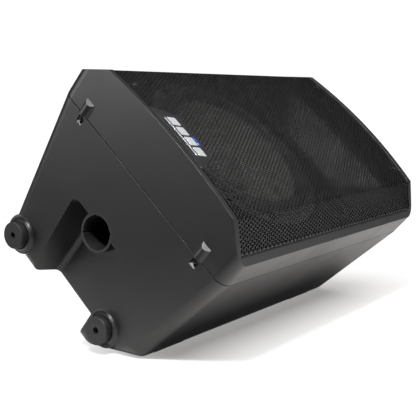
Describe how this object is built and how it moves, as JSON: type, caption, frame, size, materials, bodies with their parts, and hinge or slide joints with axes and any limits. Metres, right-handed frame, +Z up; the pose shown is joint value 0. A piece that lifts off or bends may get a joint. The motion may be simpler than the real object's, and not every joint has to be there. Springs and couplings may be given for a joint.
{
  "type": "stage monitor loudspeaker",
  "caption": "Portable powered two-way loudspeaker lying in wedge position: moulded cabinet, curved perforated steel grille, pole socket, rubber feet, rear control panel.",
  "frame": {"origin": "centre of the bounding box in plan, on the ground the wedge pads stand on", "axes": "+X runs along the cabinet from the pole-socket end to the handle end, -Y is the side the grille faces, +Z is up"},
  "size_m": [0.4202, 0.3102, 0.2872],
  "materials": {
    "shell_plastic": "fine leather-grain texture",
    "bezel_plastic": "fine leather-grain texture",
    "grille_steel": "black powder coat, perforated",
    "badge_black": "satin black",
    "badge_silver": "satin",
    "badge_blue": "translucent light pipe",
    "soft_rubber": "matt, worn face",
    "black_screw": "black zinc",
    "plain_screw": "zinc plated",
    "cone_paper": "pressed pulp",
    "cap_fabric": "doped cloth",
    "surround_rubber": "half roll",
    "spider_cloth": "impregnated woven cloth",
    "coil_copper": "enamelled copper wire",
    "basket_steel": "black stamped steel",
    "magnet_ferrite": "ferrite",
    "motor_steel": "zinc plated",
    "horn_plastic": "smooth moulded",
    "panel_metal": "black anodised",
    "sink_metal": "extruded",
    "board_green": "solder mask",
    "capacitor_can": "sleeved can",
    "jack_plastic": "moulded nylon",
    "contact_metal": "plated contacts",
    "knob_plastic": "knurled",
    "button_plastic": "moulded",
    "rocker_red": "moulded",
    "lamp_green": "translucent lens",
    "damping_foam": "polyester wadding"
  },
  "bodies": {
    "cabinet": {"rear_shell": "shell_plastic", "front_shell": "bezel_plastic", "shell_seal": "soft_rubber", "shell_screws": "black_screw", "grille": "grille_steel", "grille_screws": "black_screw", "badge": "badge_black", "badge_marks": "badge_silver", "badge_light": "badge_blue", "woofer_basket": "basket_steel", "woofer_screws": "black_screw", "woofer_gasket": "soft_rubber", "spider": "spider_cloth", "top_plate": "motor_steel", "magnet": "magnet_ferrite", "back_plate": "motor_steel", "horn": "horn_plastic", "compression_driver": "basket_steel", "horn_screws": "black_screw", "port_tubes": "horn_plastic", "pole_socket": "horn_plastic", "pole_screws": "plain_screw", "end_feet": "soft_rubber", "foot_screws": "black_screw", "wedge_pads": "soft_rubber", "handle": "horn_plastic", "handle_screws": "black_screw", "amplifier_panel": "panel_metal", "panel_gasket": "soft_rubber", "panel_screws": "black_screw", "heat_sink": "panel_metal", "circuit_board": "board_green", "board_standoffs": "contact_metal", "capacitors": "capacitor_can", "output_coils": "coil_copper", "transformer": "coil_copper", "power_board": "board_green", "power_standoffs": "contact_metal", "input_jacks": "jack_plastic", "output_plug": "jack_plastic", "output_pins": "contact_metal", "mains_inlet": "jack_plastic", "mains_pins": "contact_metal", "switch_housing": "jack_plastic", "potentiometers": "sink_metal", "button_cases": "jack_plastic", "status_lamps": "lamp_green", "damping_sheet": "damping_foam"},
    "woofer_cone": {"cone": "cone_paper", "dust_cap": "cap_fabric", "surround": "surround_rubber", "voice_coil": "coil_copper"},
    "level_one": {"knob_level_one": "knob_plastic"},
    "level_two": {"knob_level_two": "knob_plastic"},
    "tone": {"knob_tone": "knob_plastic"},
    "push_one": {"button_one": "button_plastic"},
    "push_two": {"button_two": "button_plastic"},
    "rocker": {"switch_rocker": "rocker_red"},
    "fuse_holder": {"fuse_drawer": "jack_plastic"}
  },
  "joints": [
    {"name": "cone_travel", "type": "slide", "parent": "cabinet", "child": "woofer_cone", "axis": [0, -0.6782, 0.7349], "range_m": [-0.003, 0.003], "stiffness_N_per_m": 2500},
    {"name": "level_one_turn", "type": "hinge", "parent": "cabinet", "child": "level_one", "pos_m": [0.09634, 0.06672, 0.02991], "axis": [0, 0.6782, -0.7349], "range_deg": [-150, 150]},
    {"name": "level_two_turn", "type": "hinge", "parent": "cabinet", "child": "level_two", "pos_m": [0.09634, 0.12699, 0.08552], "axis": [0, 0.6782, -0.7349], "range_deg": [-150, 150]},
    {"name": "tone_turn", "type": "hinge", "parent": "cabinet", "child": "tone", "pos_m": [0.09634, 0.09685, 0.05771], "axis": [0, 0.6782, -0.7349], "range_deg": [-150, 150]},
    {"name": "push_one_press", "type": "slide", "parent": "cabinet", "child": "push_one", "axis": [0, -0.6782, 0.7349], "range_m": [0, 0.0025], "stiffness_N_per_m": 300},
    {"name": "push_two_press", "type": "slide", "parent": "cabinet", "child": "push_two", "axis": [0, -0.6782, 0.7349], "range_m": [0, 0.0025], "stiffness_N_per_m": 300},
    {"name": "rocker_tilt", "type": "hinge", "parent": "cabinet", "child": "rocker", "pos_m": [-0.08166, 0.07, 0.0411], "axis": [0, 0.7349, 0.6782], "range_deg": [-14, 0]},
    {"name": "fuse_slide", "type": "slide", "parent": "cabinet", "child": "fuse_holder", "axis": [0, 0.6782, -0.7349], "range_m": [0, 0.012]}
  ]
}
